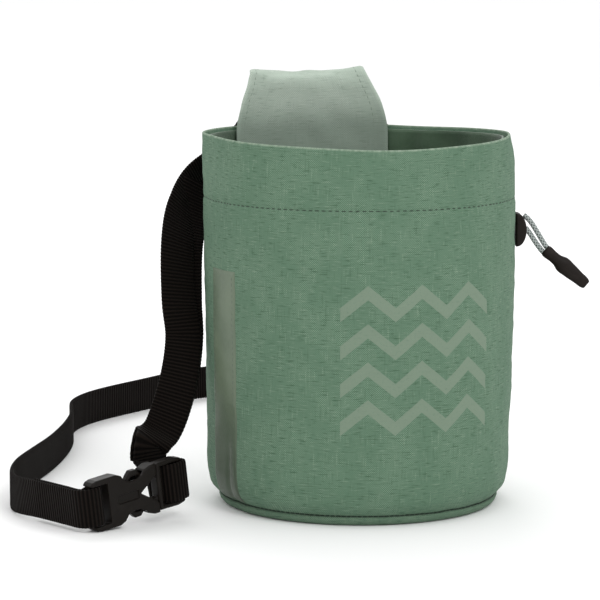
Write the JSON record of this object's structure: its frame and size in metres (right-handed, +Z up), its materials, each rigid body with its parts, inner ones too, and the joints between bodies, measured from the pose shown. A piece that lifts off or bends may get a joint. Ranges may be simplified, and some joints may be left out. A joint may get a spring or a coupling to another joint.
{
  "type": "climbing chalk bag",
  "caption": "Soft cylindrical chalk bag, open at the top, with a fabric belt loop, a webbing waist belt with side-release buckle and a side drawcord.",
  "frame": {"origin": "centre of the flat underside of the base, on the surface the bag stands on", "axes": "+Z up the bag, -Y out of its front, +Y towards the belt loop at the back, -X towards the buckle, +X towards the drawcord"},
  "size_m": [0.2379, 0.3276, 0.18],
  "materials": {
    "sage_fabric": "matt sage-green plain-weave cloth with slubs",
    "lining_fabric": "smooth dark green lining cloth",
    "pale_fabric": "pale sage cloth, the same weave, brushed",
    "black_webbing": "ribbed black webbing, slightly shiny yarns",
    "black_plastic": "black moulded plastic, fine satin",
    "grey_cord": "thin braided grey cord",
    "black_rubber": "soft black moulded end, satin"
  },
  "bodies": {
    "root": {"bag_wall": "sage_fabric", "base_panel": "sage_fabric", "lining": "lining_fabric", "belt_loop": "pale_fabric", "belt": "black_webbing", "buckle_socket": "black_plastic", "buckle_plug": "black_plastic", "cord_port": "black_plastic", "drawcord_upper": "grey_cord", "drawcord_lower": "grey_cord", "cord_end": "black_rubber"}
  },
  "joints": []
}
